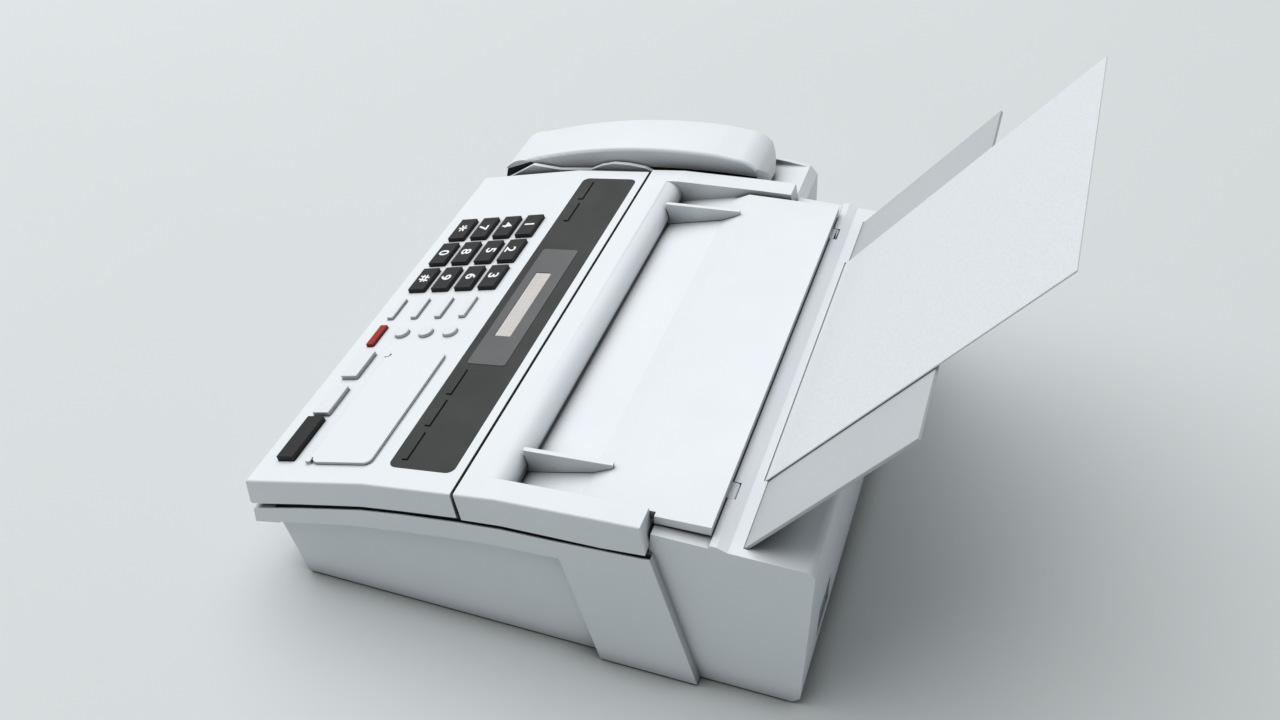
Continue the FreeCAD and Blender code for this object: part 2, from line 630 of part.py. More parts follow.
def make_housing():
    """Main housing: side walls, rim, legs and the closed rear body with the paper slot."""
    housing = Solid("main_housing")
    low, top, rear = d.desk_gap, d.body_top, d.body_rear
    section = [(-102.7, low), (-113.6, 39.6), (-118.0, 55.6), (-94.4, 63.3), (-54.5, 75.0),
               (-29.3, 79.9), (5.5, 85.5), (31.2, 88.7), (59.8, 90.1), (112.5, 94.0), (113.4, top),
               (144.6, top), (144.6, top + 2.1), (148.4, top + 2.1), (154.4, top), (rear, top),
               (rear, low + 4.0), (rear - 4.0, low)]
    housing.pad("YZ_Plane", [section], d.body_left_wall, d.wall_x)
    housing.fillet(5.0, lambda e: along_x(e, [(200.0, 107.5)]))
    wall = d.shell
    core = [(-99.0, -5.0), (-110.6, 39.0), (-115.0, 57.0), (-94.4, 70.0), (-54.5, 82.0),
            (5.5, 92.0), (59.8, 97.0), (110.9, 97.0), (111.2, 91.0), (115.6, 91.0),
            (116.0, top - wall), (rear - wall - 2.0, top - wall),
            (rear - wall, top - wall - 2.0), (rear - wall, -5.0)]
    housing.cut("YZ_Plane", [core], d.body_left_wall + wall, d.wall_x - wall)
    housing.pad("YZ_Plane", [rim_section()], d.wall_x - 1.0, d.side_x)
    housing.pad("YZ_Plane", [rim_section()], d.body_left, d.body_left_wall + 1.0)
    groove = RIM_TOP + [(y, z - 4.0) for y, z in reversed(RIM_TOP)]
    for x in (d.side_x - 4.6, d.body_left + 0.8):
        housing.cut("YZ_Plane", [groove], x, x + 3.8)
    lip = LIP_FRONT + [(-122.2, 54.3), (-112.8, 57.3), (-111.2, 45.9)]
    housing.pad("YZ_Plane", [lip], d.body_left, d.side_x)
    hinge_y, hinge_z = PANEL_HINGE
    for x in (-126.0, 182.0):
        tab = rect(hinge_y - 2.2, hinge_y + 2.2, 50.0, hinge_z + 2.2)
        housing.pad("YZ_Plane", [tab], x, x + 4.0)
        housing.cut("YZ_Plane", [(hinge_y, hinge_z, 1.5)], x - 0.5, x + 4.5)
    for y, z in (SCAN_AXIS, PRINT_AXIS):
        for x0, x1, hole0, hole1 in BEARINGS:
            block = rect(y - 8.0, y + 8.0, d.desk_gap + 4.0, z + 8.0)
            housing.pad("YZ_Plane", [block], x0, x1)
            housing.cut("YZ_Plane", [(y, z, d.shaft_radius + d.bearing_gap)], hole0, hole1)
    cover_y, cover_z = COVER_HINGE
    for x in COVER_HINGE_X:
        housing.cut("YZ_Plane", [rect(cover_y - 2.4, cover_y + 2.3, 104.9, 112.0)], x - 6.4, x + 6.4)
        housing.cut("YZ_Plane", [(cover_y, cover_z, 1.2)], x - 12.0, x + 12.0)
    slots = ((-(d.tray_thick + 0.3), 0.3, d.tray_width), (0.0, d.paper_thick + 1.0, d.paper_width))
    for below, over, width in slots:
        slot = [tray_line(-SLOT_REACH, below), tray_line(SLOT_REACH, below),
                tray_line(SLOT_REACH, over), tray_line(-SLOT_REACH, over)]
        half = width / 2 + 0.4
        housing.cut("YZ_Plane", [slot], d.paper_x - half, d.paper_x + half)
    housing.cut("XZ_Plane", [rect(128.0, 158.0, 16.0, 38.0)], rear - 6.0, rear + 2.0)
    housing.cut("XZ_Plane", [rect(-70.0, -54.0, 14.0, 28.0), rect(-50.0, -34.0, 14.0, 28.0)],
                rear - 6.0, rear + 2.0)
    bosses = [rect(-137.0, x + 5.0, y - 5.0, y + 5.0) if x < 0 else
              rect(x - 5.0, 192.0, y - 5.0, y + 5.0) for x, y in SCREW_SPOTS]
    housing.pad("XY_Plane", bosses, 3.2, 14.0)
    housing.cut("XY_Plane", [(x, y, 1.55) for x, y in SCREW_SPOTS], 3.0, 13.0)
    return housing.body


def make_base_plate():
    """Steel plate that closes the housing below."""
    plate = Solid("base_plate")
    plate.pad("XY_Plane", [rect(-136.3, 191.3, -98.5, 195.4)], d.desk_gap, d.desk_gap + 1.5)
    plate.cut("XY_Plane", [(x, y, 1.6) for x, y in SCREW_SPOTS], 0.0, 5.0)
    return plate.body


def make_feet():
    """Four rubber feet under the base plate."""
    feet = [rod(f"foot_{k}", "z", 0, d.desk_gap, x, y, 9.0) for k, (x, y) in enumerate(FOOT_SPOTS)]
    return join("rubber_feet", "Part::Compound", feet)


def make_screws():
    """Four screws up through the base plate into the housing's bosses."""
    screws = []
    for k, (x, y) in enumerate(SCREW_SPOTS):
        head = rod(f"screw_head_{k}", "z", 0.5, d.desk_gap, x, y, 2.8)
        shank = rod(f"screw_shank_{k}", "z", d.desk_gap - 0.1, 12.0, x, y, 1.5)
        screws.append(join(f"screw_{k}", "Part::MultiFuse", [head, shank]))
    return join("housing_screws", "Part::Compound", screws)


def make_hinge_pins():
    """Steel pins of the panel hinge and of the cover hinge, held by the housing."""
    panel_y, panel_z = PANEL_HINGE
    cover_y, cover_z = COVER_HINGE
    pins = [rod(f"panel_pin_{k}", "x", x, x + 8.4, panel_y, panel_z, 1.5)
            for k, x in enumerate((-130.4, 182.0))]
    pins += [rod(f"cover_pin_{k}", "x", x - 12.0, x + 12.0, cover_y, cover_z, 1.2)
             for k, x in enumerate(COVER_HINGE_X)]
    return join("hinge_pins", "Part::Compound", pins)


# ---------------------------------------------------------------- works inside

def make_main_board():
    """Main circuit board on four posts, with its larger components."""
    board = Solid("main_board")
    board.pad("XY_Plane", [rect(-95.0, 60.0, -88.0, 62.0)], 12.0, 13.6)
    board.pad("XY_Plane", [(x, y, 3.0) for x in (-88.0, 53.0) for y in (-81.0, 55.0)], 3.0, 12.2)
    board.pad("XY_Plane", [rect(-60.0, -32.0, -45.0, -17.0), rect(-10.0, 14.0, -60.0, -46.0)], 13.4, 16.4)
    board.pad("XY_Plane", [rect(-85.0, -79.0, -20.0, 30.0), rect(20.0, 50.0, 40.0, 47.0)], 13.4, 22.0)
    board.pad("XY_Plane", [(x, 12.0, 5.0) for x in (0.0, 14.0, 28.0)], 13.4, 28.0)
    return board.body


def make_power_supply():
    """Power supply in its can, with the mains inlet that shows in the rear wall."""
    supply = Solid("power_supply")
    supply.pad("XY_Plane", [rect(60.0, 178.0, 132.0, 190.0)], 3.0, 56.0)
    supply.pad("XZ_Plane", [rect(129.0, 157.0, 17.0, 37.0)], 189.0, 199.0)
    supply.cut("XZ_Plane", [rect(133.0, 153.0, 20.5, 33.5)], 183.0, 200.0)
    supply.pad("XZ_Plane", [rect(x - 0.9, x + 0.9, 25.0, 29.0) for x in (137.5, 143.0, 148.5)],
               182.5, 194.0)
    return supply.body


def make_line_jacks():
    """Two telephone sockets, line and extension, on the rear wall."""
    jacks = []
    for name, x in (("line_socket", -69.4), ("extension_socket", -49.4)):
        jack = Solid(name)
        jack.pad("XY_Plane", [rect(x, x + 14.8, 182.0, 197.0)], 3.0, 27.4)
        jack.pad("XZ_Plane", [rect(x, x + 14.8, 14.6, 27.4)], 196.0, 199.2)
        jack.cut("XZ_Plane", [rect(x + 2.4, x + 12.4, 16.6, 24.4)], 187.0, 201.0)
        jacks.append(jack.body)
    return join("line_jacks", "Part::Compound", jacks)


def make_motors():
    """Two stepper motors on their legs, one for scanning and one for printing."""
    motors = []
    for name, (y, z) in (("scan_motor", SCAN_AXIS), ("print_motor", PRINT_AXIS)):
        y = y + GEAR_DISTANCE
        motor = Solid(name)
        motor.pad("YZ_Plane", [(y, z, 14.0)], MOTOR_X[0], MOTOR_X[1])
        motor.pad("YZ_Plane", [rect(y - 8.0, y + 8.0, 3.0, z)], MOTOR_X[0] + 2.0, MOTOR_X[1] - 2.0)
        motor.cut("YZ_Plane", [(y, z, 1.5 + d.bearing_gap)], MOTOR_X[0] - 1.0, MOTOR_X[0] + 10.0)
        motors.append(motor.body)
    return join("drive_motors", "Part::Compound", motors)


def make_roller(name, axis, rubber_low, rubber_high):
    """A rubber roller on its steel shaft, with the gear that drives it."""
    y, z = axis
    shaft = rod(f"{name}_shaft", "x", -135.6, 190.6, y, z, d.shaft_radius)
    rubber = rod(f"{name}_rubber", "x", rubber_low, rubber_high, y, z, d.roller_radius)
    wheel = gear(f"{name}_gear", ROLLER_TEETH, GEAR_MODULE, 0.0, float(d.shaft_radius) - 0.5,
                 y, z, *GEAR_X)
    return join(name, "Part::MultiFuse", [shaft, rubber, wheel])


def make_pinion(name, axis):
    """Motor pinion on the motor's shaft, in mesh with the roller's gear."""
    y, z = axis[0] + GEAR_DISTANCE, axis[1]
    turn = math.pi + math.pi / PINION_TEETH
    shaft = rod(f"{name}_shaft", "x", GEAR_X[0], MOTOR_X[0] + 9.5, y, z, 1.5)
    wheel = gear(f"{name}_gear", PINION_TEETH, GEAR_MODULE, turn, 1.2, y, z, *GEAR_X)
    return join(name, "Part::MultiFuse", [shaft, wheel])


def make_scan_bar():
    """Contact image sensor above the scan roller, resting on the bearings and clear of the gear."""
    y, z = SCAN_AXIS
    bar = Solid("scan_bar")
    bar.pad("YZ_Plane", [rect(y - 7.5, y + 7.5, z + 8.05, z + 21.0)], -136.0, 191.0)
    bar.cut("YZ_Plane", [rect(y - 9.0, y + 9.0, z + 7.0, z + 18.0)], GEAR_X[0] - 1.0, GEAR_X[1] + 1.0)
    bar.cut("YZ_Plane", [rect(y - 9.0, y + 9.0, z + 7.0, z + 8.5)], -131.0, 186.0)
    bar.cut("YZ_Plane", [rect(y - 1.5, y + 1.5, z + 8.0, z + 9.5)], -95.0, 160.0)
    return bar.body


def make_print_head():
    """Thermal print head on two legs in front of the print roller."""
    y = PRINT_AXIS[0] - float(d.roller_radius) - 0.4
    head = Solid("print_head")
    head.pad("YZ_Plane", [rect(y - 11.0, y, 36.0, 54.0)], -80.0, 146.0)
    for x in (-80.0, 136.0):
        head.pad("YZ_Plane", [rect(y - 11.0, y - 3.0, 3.0, 37.0)], x, x + 10.0)
    return head.body


# ---------------------------------------------------------------- document cover

def make_cover():
    """Document cover: two side rails, the hollow front bar and the floor of the recess."""
    cover = Solid("top_cover")
    rail = [(4.9, 106.8), (28.6, 110.8), (60.8, 113.1), (88.3, 115.1), (109.3, 116.2),
            (112.8, 100.9), (112.5, 97.0), (87.8, 94.4), (59.8, 93.1), (31.2, 91.7), (8.3, 88.6)]
    cover.pad("YZ_Plane", [rail], d.rail_right, d.side_x)
    cover.fillet(1.2, lambda e: on_side(e, d.side_x) and e.Length > 10 and above(e, 100))
    middle = [(4.9, 106.8), (18.5, 109.1), (30.4, 94.6, 28.66, 105.29), (69.5, 106.0),
              (112.6, 109.0), (112.6, 106.5), (69.5, 103.4), (31.6, 92.6), (10.4, 92.6),
              (10.9, 88.9), (8.3, 88.6)]
    cover.pad("YZ_Plane", [middle], d.rail_left - 1.0, d.rail_right + 1.0)
    cover.pad("YZ_Plane", [rail], d.cover_left, d.rail_left)
    hollow = [(10.0, 95.2), (28.0, 95.2), (27.0, 101.0), (18.2, 106.4), (7.8, 104.6)]
    cover.cut("YZ_Plane", [hollow], d.rail_left, d.rail_right)
    cover.cut("XZ_Plane", [rect(-101.0, 162.0, 95.2, 98.2)], 27.0, 33.0)
    cover.pad("XY_Plane", [(*RACK_AXIS, 2.0)], 94.8, 98.6)
    return cover.body


def make_table():
    """Document table behind the recess, with the knuckles of the cover hinge."""
    table = Solid("document_table")
    plate = [(69.5, 106.05), (81.0, 112.6), (143.8, 115.8), (143.8, 110.2), (112.6, 109.05)]
    table.pad("YZ_Plane", [plate], -123.8, d.rail_right - 0.3)
    wing = [(113.2, 114.24), (143.8, 115.8), (143.8, 110.2), (113.2, 109.07)]
    table.pad("YZ_Plane", [wing], d.rail_right - 1.0, 187.4)
    y, z = COVER_HINGE
    for x in COVER_HINGE_X:
        table.pad("YZ_Plane", [rect(141.5, 143.8, z + 0.5, 110.6)], x - 6.0, x + 6.0)
        table.pad("YZ_Plane", [rect(143.0, y, z + 0.5, z + 2.0)], x - 6.0, x + 6.0)
        table.pad("YZ_Plane", [(y, z, 2.0)], x - 6.0, x + 6.0)
        table.cut("YZ_Plane", [(y, z, 1.2 + d.bearing_gap)], x - 6.5, x + 6.5)
    return table.body


def make_guide(name, side):
    """Document guide with its foot and rack; side is +1 on the right and -1 on the left."""
    inner = RACK_AXIS[0] + d.guide_span / 2 * side
    x0, x1 = (inner, inner + d.guide_thick) if side > 0 else (inner - d.guide_thick, inner)
    guide = Solid(f"{name}_blade")
    blade = [(31.7, 95.2), (31.5, 101.0), (28.9, 110.8), (81.2, 115.5), (81.0, 113.0), (69.5, 106.5)]
    guide.pad("YZ_Plane", [blade], x0, x1)
    reach = RACK_MODULE * RACK_TEETH / 2
    back = RACK_AXIS[1] + side * (reach + 2.5)
    root = RACK_AXIS[1] + side * (reach + TOOTH_DEDENDUM * RACK_MODULE)
    guide.pad("XY_Plane", [rect(x0, x1, root, 32.0)], *RACK_Z)
    if side > 0:
        start, end = RACK_AXIS[0] - 3.0, float(x1)
    else:
        start, end = float(x0), RACK_AXIS[0] + 3.0
    outline = rack_points(start, end, RACK_AXIS[1] + side * reach, -side) + [(end, back), (start, back)]
    corners = [Vector(x, y, RACK_Z[0]) for x, y in outline]
    face = Part.Face(Part.makePolygon(corners + corners[:1]))
    rack = doc.addObject("Part::Feature", f"{name}_rack")
    rack.Shape = face.extrude(Vector(0, 0, RACK_Z[1] - RACK_Z[0]))
    place(rack)
    return join(name, "Part::MultiFuse", [guide.body, rack])


def make_tray():
    """Paper tray standing in the rear slot."""
    y, z = tray_line(0)
    tray = Solid("paper_tray", d.paper_x, y, z, rotation_x(math.degrees(TRAY_SLOPE)))
    half = d.tray_width / 2
    tray.pad("XY_Plane", [rect(-half, half, -8.0, d.tray_length)], -d.tray_thick, 0)
    return tray.body


def make_paper():
    """Stack of A4 paper standing in the tray."""
    y, z = tray_line(0)
    paper = Solid("paper_stack", d.paper_x, y, z, rotation_x(math.degrees(TRAY_SLOPE)))
    half = d.paper_width / 2
    outside = d.paper_length - d.paper_inside
    paper.pad("XY_Plane", [rect(-half, half, -d.paper_inside, outside)], 0.3, d.paper_thick + 0.3)
    return paper.body


# ---------------------------------------------------------------- handset

def make_cradle():
    """Handset cradle at the left, with a well for each end of the handset."""
    cradle = Solid("handset_cradle")
    low = d.desk_gap
    bed = [(-118.0, low), (-126.0, 48.0), (-116.0, 54.8), (-86.0, 61.2), (-80.5, 74.0), (-62.0, 80.6),
           (-40.0, 85.8), (-26.0, 89.0), (-8.0, 93.2), (10.0, 97.2), (34.0, 97.4), (43.0, 91.2),
           (80.0, 94.8), (92.0, 96.0), (108.0, 97.4), (114.0, 91.0), (118.0, low)]
    wall = [(-118.0, low), (-126.0, 48.0), (-121.0, 62.0), (-110.0, 76.0), (-90.0, 90.6), (-68.0, 91.0),
            (-44.0, 95.6), (-36.0, 100.6), (-26.0, 104.4), (-14.0, 105.6), (-2.0, 105.2), (8.0, 101.5),
            (92.0, 99.0), (108.0, 97.4), (114.0, 91.0), (118.0, low)]
    cradle.pad("YZ_Plane", [bed], d.cradle_left, d.body_left - 0.3)
    cradle.pad("YZ_Plane", [wall], d.cradle_left, d.cradle_left + 3.2)
    cradle.pad("YZ_Plane", [wall], d.body_left - 3.5, d.body_left - 0.3)
    cradle.cut("YZ_Plane", [rect(-100.0, 98.0, -5.0, 50.0)], d.cradle_left + 4.0, d.body_left - 4.3)
    y, z = HOOK_SPOT
    cradle.cut("XY_Plane", [rect(HOOK_X - 4.3, HOOK_X + 4.3, y - 6.3, y + 6.3)], 40.0, 110.0)
    cradle.cut("YZ_Plane", [rect(-96.0, -84.0, 14.0, 24.0)], d.cradle_left - 1.0, d.cradle_left + 5.0)
    return cradle.body


def make_hook_switch():
    """Hook switch plunger, held down by the handset and free to rise when it is lifted."""
    y, z = HOOK_SPOT
    switch = Solid("hook_switch", HOOK_X, y, z)
    switch.pad("XY_Plane", [rect(-4.0, 4.0, -6.0, 6.0)], -40.0, 0.0)
    return switch.body


HANDSET_TOP = [(48.0, 123.0, -35.0, 112.2), (64.0, 122.2), (87.0, 101.5, 80.2, 115.6)]
HANDSET_SPLIT = [(79.0, 110.8), (-72.0, 87.4, 0.0, 103.8), (-94.0, 89.9), (-113.0, 80.2)]


def make_handset_top():
    """Upper shell of the handset."""
    shell = Solid("handset_top_shell")
    outline = [(-101.0, 89.8, -108.8, 86.2)] + HANDSET_TOP + [(86.0, 99.0), (80.0, 99.0)]
    outline += HANDSET_SPLIT + [(-114.0, 80.6)]
    shell.pad("YZ_Plane", [outline], d.handset_left, d.handset_right)
    shell.fillet(2.5, lambda e: joins(e, [(-101.0, 89.8), (48.0, 123.0), (64.0, 122.2), (87.0, 101.5)]))
    left, right = d.handset_left - 1, d.handset_right + 1
    middle = (float(left) + float(right)) / 2
    corner = [(right, 77.0), (right, 95.0), (left, 95.0), (left, 77.0)]
    shell.cut("XY_Plane", [[(right, 77.0, middle, 87.1)] + corner[1:]], 90.0, 130.0)
    return shell.body


def make_handset_bottom():
    """Lower shell of the handset, with the mouthpiece and the earpiece."""
    shell = Solid("handset_bottom_shell")
    lower = [(-116.5, 64.0), (-113.6, 79.6), (-94.0, 89.6), (-72.0, 87.1), (79.0, 110.5, 0.0, 103.5),
             (78.6, 96.0), (44.0, 92.4), (36.0, 99.0), (10.0, 98.6, 24.0, 99.6), (-62.0, 82.0),
             (-82.0, 76.0), (-87.5, 62.6), (-112.0, 56.7)]
    shell.pad("YZ_Plane", [lower], d.handset_left + 0.6, d.handset_right - 0.6)
    return shell.body


def build():
    """Makes every sub-part, in the order of assembly."""
    parts = [make_housing(), make_base_plate(), make_feet(), make_screws(), make_hinge_pins(),
             make_main_board(), make_power_supply(), make_line_jacks(), make_motors(),
             make_scan_bar(), make_print_head(),
             make_roller("scan_roller", SCAN_AXIS, -98.0, 162.0), make_pinion("scan_pinion", SCAN_AXIS),
             make_roller("print_roller", PRINT_AXIS, -75.0, 141.0),
             make_pinion("print_pinion", PRINT_AXIS),
             make_cradle(), make_hook_switch(), make_handset_top(), make_handset_bottom(),
             make_panel(), make_strip(), *make_display(), make_key_board(), make_card_flap(),
             make_cover(), make_table(), make_guide("document_guide_right", 1),
             make_guide("document_guide_left", -1),
             gear("guide_pinion", RACK_TEETH, RACK_MODULE, math.pi / RACK_TEETH,
                  2.0 + float(d.bearing_gap), *RACK_AXIS, *RACK_Z, upright=True),
             make_tray(), make_paper()]
    parts += [key.build() for key in KEYS]
    return parts


def check(parts):
    """Stops with a message when any object failed or any sub-part has no valid solid."""
    failed = [o.Name for o in doc.Objects if "Invalid" in o.State or "Error" in o.State]
    if failed:
        raise ValueError(f"failed objects: {failed}")
    for part in parts:
        if part.Shape.isNull() or not part.Shape.isValid() or not part.Shape.Solids:
            raise ValueError(f"no valid solid in {part.Label}")


def export(parts):
    os.makedirs("parts", exist_ok=True)
    for part in parts:
        part.Shape.exportStep(f"parts/{part.Label}.step")


doc.recompute()
PARTS = build()
doc.recompute()
check(PARTS)
export(PARTS)
print(f"{len(PARTS)} sub-parts")
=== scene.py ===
import json
import math

import bpy
from mathutils import Matrix, Vector


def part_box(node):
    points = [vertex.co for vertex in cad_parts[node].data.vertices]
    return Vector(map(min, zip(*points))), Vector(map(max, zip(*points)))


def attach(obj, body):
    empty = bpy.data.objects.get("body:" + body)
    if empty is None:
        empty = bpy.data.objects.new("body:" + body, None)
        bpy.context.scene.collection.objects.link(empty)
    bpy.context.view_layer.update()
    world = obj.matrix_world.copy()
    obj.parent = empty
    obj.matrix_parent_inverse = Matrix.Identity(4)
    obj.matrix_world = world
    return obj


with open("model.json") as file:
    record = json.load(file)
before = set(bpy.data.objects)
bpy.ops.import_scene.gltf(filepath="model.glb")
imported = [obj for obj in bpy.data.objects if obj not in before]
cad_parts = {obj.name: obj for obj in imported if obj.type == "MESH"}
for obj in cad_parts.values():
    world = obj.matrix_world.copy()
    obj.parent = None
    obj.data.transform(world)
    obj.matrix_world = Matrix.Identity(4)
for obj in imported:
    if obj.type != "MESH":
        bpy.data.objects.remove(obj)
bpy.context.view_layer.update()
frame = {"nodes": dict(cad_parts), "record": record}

MM = 0.001

CAMERA_SPOT = (0.6354, 0.1768, 0.6117)
CAMERA_HEADING = math.radians(251.459)
CAMERA_PITCH = math.radians(39.891)
SENSOR_WIDTH = 36.0
LENS = 37.23

FLOOR_COLOR = (0.60, 0.628, 0.632)
FLOOR_HALF = 6.0
SKY_COLOR = (0.95, 0.99, 1.0)
SKY_STRENGTH = 0.32
KEY_LIGHT_SPOT = (-1.3, -2.3, 4.8)
KEY_LIGHT_TARGET = (0, 0, 0.08)
KEY_LIGHT_SIZE = (9.0, 7.5)
KEY_LIGHT_POWER = 475

INK_WHITE = (0.86, 0.87, 0.88)
INK_THICKNESS = 0.04 * MM
INK_SPREAD = 0.2 * MM
INK_WIDEN = 1.28
DIGIT_HEIGHT = 10.2 * MM
STAR_HEIGHT = 14 * MM

MAIN_BEVEL = 0.45 * MM
KEY_BEVEL = 0.5 * MM
BEVEL_ANGLE = math.radians(32)
MERGE = 0.002 * MM
EDGE_WEAR = 0.5 * MM
# Painted shade in seams and corners: how far its ambient occlusion reaches, and the share of the
# colour left where it is darkest.
PAINTED_SHADE_REACH = 24 * MM
PAINTED_SHADE_SHARE = 0.1

# The nine moulded plastics: color, its rubbed edge, grain per metre and in mm, roughness and soil.
PLASTICS = {
    "white_plastic": dict(
        color=(0.70, 0.735, 0.765), worn=(0.78, 0.80, 0.82), soil=0.035),
    "white_key_plastic": dict(
        color=(0.70, 0.73, 0.76), worn=(0.78, 0.80, 0.82), grain=3600, grain_height=0.008,
        rough=(0.3, 0.42), soil=0.05),
    "dark_key_plastic": dict(
        color=(0.014, 0.014, 0.015), worn=(0.07, 0.07, 0.07), grain=3200, grain_height=0.012,
        rough=(0.38, 0.5), soil=0.2, wear=0.6, gloss=0.22),
    "red_key_plastic": dict(
        color=(0.34, 0.012, 0.006), worn=(0.5, 0.06, 0.04), grain=3200, grain_height=0.008,
        rough=(0.28, 0.4), soil=0.15, gloss=0.25),
    "dark_strip_plastic": dict(
        color=(0.030, 0.032, 0.032), worn=(0.08, 0.08, 0.08), grain=3000, grain_height=0.01,
        rough=(0.42, 0.55), soil=0.15, gloss=0.2),
    "grey_bezel_plastic": dict(
        color=(0.105, 0.106, 0.112), worn=(0.2, 0.2, 0.21), grain=3000, grain_height=0.01,
        rough=(0.4, 0.52), soil=0.12, gloss=0.25),
    "black_plastic": dict(
        color=(0.014, 0.014, 0.015), worn=(0.07, 0.07, 0.07), rough=(0.36, 0.5), soil=0.2,
        gloss=0.3),
    "tray_plastic": dict(
        color=(0.45, 0.475, 0.49), worn=(0.56, 0.58, 0.60), grain=1500, grain_height=0.05,
        rough=(0.5, 0.64), soil=0.07),
    "gear_plastic": dict(
        color=(0.74, 0.71, 0.60), worn=(0.85, 0.83, 0.75), rough=(0.3, 0.4)),
}


# ---------------------------------------------------------------- materials

class Nodes:
    """A material's node tree, with short helpers that add and link nodes."""

    def __init__(self, name):
        self.material = bpy.data.materials.new(name)
        self.material.use_nodes = True
        self.tree = self.material.node_tree
        self.shader = self.tree.nodes["Principled BSDF"]
        self.place = self.add("ShaderNodeTexCoord").outputs["Object"]

    def add(self, kind, **settings):
        node = self.tree.nodes.new(kind)
        for name, value in settings.items():
            setattr(node, name, value)
        return node

    def link(self, source, target):
        self.tree.links.new(source, target)

    def noise(self, scale, detail=3.0, stretch=(1, 1, 1)):
        """Noise with so many features per metre, stretched along the axes."""
        mapping = self.add("ShaderNodeMapping")
        mapping.inputs["Scale"].default_value = stretch
        self.link(self.place, mapping.inputs["Vector"])
        noise = self.add("ShaderNodeTexNoise")
        noise.inputs["Scale"].default_value = scale
        noise.inputs["Detail"].default_value = detail
        self.link(mapping.outputs["Vector"], noise.inputs["Vector"])
        return noise.outputs["Fac"]

    def spread(self, value, low, high, start=0.3, end=0.7):
        """Maps a value that runs from start to end onto low to high."""
        node = self.add("ShaderNodeMapRange")
        node.inputs["From Min"].default_value = start
        node.inputs["From Max"].default_value = end
        node.inputs["To Min"].default_value = low
        node.inputs["To Max"].default_value = high
        self.link(value, node.inputs["Value"])
        return node.outputs["Result"]

    def mix(self, factor, a, b):
        """Mixes two colours, each a tuple or an output."""
        node = self.add("ShaderNodeMix", data_type="RGBA")
        self.link(factor, node.inputs["Factor"])
        color_sockets = [s for s in node.inputs if s.type == "RGBA"]
        for socket, value in zip(color_sockets, (a, b)):
            if isinstance(value, tuple):
                socket.default_value = (*value, 1.0)
            else:
                self.link(value, socket)
        return next(s for s in node.outputs if s.type == "RGBA")

    def product(self, a, b):
        node = self.add("ShaderNodeMath", operation="MULTIPLY")
        self.link(a, node.inputs[0])
        self.link(b, node.inputs[1])
        return node.outputs[0]

    def edges(self, radius):
        """1 along edges and 0 on flats, from how far a bevel would turn the normal."""
        bevel = self.add("ShaderNodeBevel", samples=4)
        bevel.inputs["Radius"].default_value = radius
        geometry = self.add("ShaderNodeNewGeometry")
        dot = self.add("ShaderNodeVectorMath", operation="DOT_PRODUCT")
        self.link(bevel.outputs["Normal"], dot.inputs[0])
        self.link(geometry.outputs["Normal"], dot.inputs[1])
        return self.spread(dot.outputs["Value"], 1.0, 0.0, 0.80, 0.995)

    def painted_crevice_shade(self, reach):
        """Painted-shade mask from ambient occlusion: 1 deep in seams and corners and 0 in the open.
        """
        shade = self.add("ShaderNodeAmbientOcclusion", samples=6)
        shade.inputs["Distance"].default_value = reach
        return self.spread(shade.outputs["AO"], 1.0, 0.0, 0.25, 0.75)

    def bricks(self, width, row, gap, colors):
        """A grid of cells in two colours with gaps in a third; sizes in metres."""
        grid = self.add("ShaderNodeTexBrick")
        for name, value in (("Scale", 1.0), ("Brick Width", width), ("Row Height", row),
                            ("Mortar Size", gap)):
            grid.inputs[name].default_value = value
        for name, color in zip(("Color1", "Color2", "Mortar"), colors):
            grid.inputs[name].default_value = (*color, 1)
        self.link(self.place, grid.inputs["Vector"])
        return grid

    def bump(self, height, strength, distance):
        """Adds a bump over the ones already there."""
        node = self.add("ShaderNodeBump")
        node.inputs["Strength"].default_value = strength
        node.inputs["Distance"].default_value = distance
        self.link(height, node.inputs["Height"])
        normal = self.shader.inputs["Normal"]
        if normal.is_linked:
            self.link(normal.links[0].from_socket, node.inputs["Normal"])
        self.link(node.outputs["Normal"], normal)


def scaled(color, factor):
    return tuple(c * factor for c in color)


def moulded_plastic(name, color, worn, grain=2600, grain_height=0.02, rough=(0.42, 0.56),
                    soil=0.04, wear=0.35, gloss=0.4):
    """Spark-eroded grain, slow colour drift, fine soil, rubbed edges and painted shade in seams and
    corners.
    """
    m = Nodes(name)
    soiled = scaled(color, 1 - soil)
    drift = m.mix(m.spread(m.noise(9, 4), 0, 1), color, soiled)
    speck = m.mix(m.spread(m.noise(900, 2), 0, 0.35, 0.55, 0.75), drift, soiled)
    rubbed = m.product(m.edges(EDGE_WEAR), m.spread(m.noise(60, 4), 0, wear, 0.4, 0.65))
    # Painted shade: seams and corners darken towards this share of the colour, by ambient
    # occlusion.
    painted_shade_color = scaled(color, PAINTED_SHADE_SHARE)
    m.link(m.mix(m.painted_crevice_shade(PAINTED_SHADE_REACH), m.mix(rubbed, speck, worn), painted_shade_color),
           m.shader.inputs["Base Color"])
    m.link(m.spread(m.noise(35, 4), *rough), m.shader.inputs["Roughness"])
    m.shader.inputs["Specular IOR Level"].default_value = gloss
    m.bump(m.noise(grain, 2), 0.35, grain_height * MM)
    m.bump(m.noise(70, 2), 0.12, 0.05 * MM)
    return m.material


